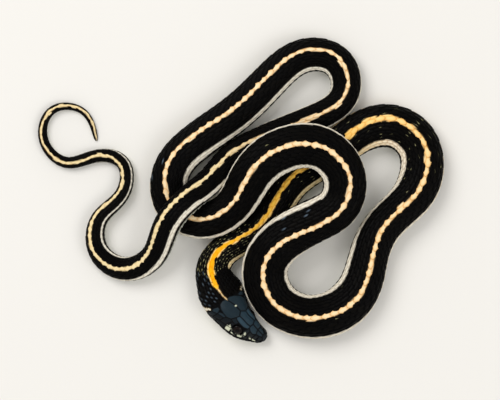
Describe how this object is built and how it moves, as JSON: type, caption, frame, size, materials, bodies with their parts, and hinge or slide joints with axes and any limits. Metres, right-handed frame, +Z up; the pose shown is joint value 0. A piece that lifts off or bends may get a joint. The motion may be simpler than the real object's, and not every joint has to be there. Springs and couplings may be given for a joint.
{
  "type": "garter snake",
  "caption": "Slender dark snake with a pale stripe down its back, resting in loose overlapping loops, head on the ground and thin tail curled at the end.",
  "frame": {"origin": "middle of the footprint's bounding box, on the ground the belly rests on", "axes": "+Z up; +X runs along the longest way across the loops, from the curl of the tail to the right-hand loop; the head lies towards -Y"},
  "size_m": [0.1496, 0.1125, 0.0193],
  "materials": {
    "black_scales": "satin dry scales",
    "head_shields": "smooth satin shields",
    "pale_chin": "smooth satin scales",
    "eye": "wet gloss"
  },
  "bodies": {
    "root": {"head": "head_shields", "lower_jaw": "pale_chin", "eye_left": "eye", "eye_right": "eye", "neck": "black_scales", "body_01": "black_scales", "body_02": "black_scales", "body_03": "black_scales", "body_04": "black_scales", "body_05": "black_scales", "body_06": "black_scales", "body_07": "black_scales", "body_08": "black_scales", "body_09": "black_scales", "body_10": "black_scales", "body_11": "black_scales", "body_12": "black_scales", "body_13": "black_scales", "body_14": "black_scales", "tail_1": "black_scales", "tail_2": "black_scales", "tail_3": "black_scales", "tail_4": "black_scales", "tail_5": "black_scales", "tail_6": "black_scales", "tail_7": "black_scales"}
  },
  "joints": []
}
